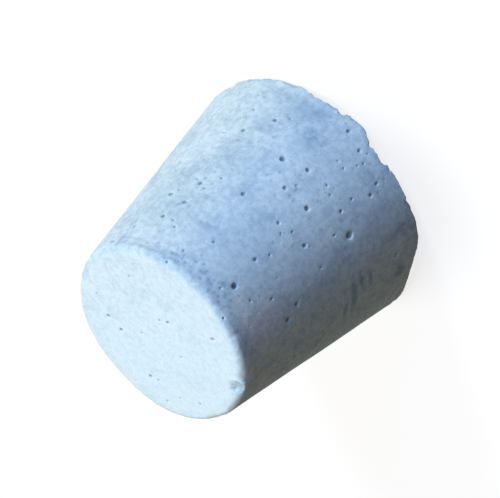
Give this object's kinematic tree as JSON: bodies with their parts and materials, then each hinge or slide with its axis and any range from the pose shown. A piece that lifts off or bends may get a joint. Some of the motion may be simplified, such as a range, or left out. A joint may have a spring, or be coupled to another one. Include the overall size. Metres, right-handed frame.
{
  "type": "concrete bottle stopper",
  "caption": "Solid tapered bottle stopper cast in pale concrete, with a rounded narrow end, blow holes and a chipped wide edge.",
  "frame": {"origin": "centre of the wide end's flat face, on which the stopper stands", "axes": "+Z along the taper's axis from the wide end to the narrow end, +X and +Y square to it; -Y is the near side, which shows most of the blow holes"},
  "size_m": [0.0377, 0.0378, 0.034],
  "materials": {
    "concrete": "matt fine-grained cast mortar, pale blue-grey, open blow holes"
  },
  "bodies": {
    "root": {"stopper": "concrete"}
  },
  "joints": []
}
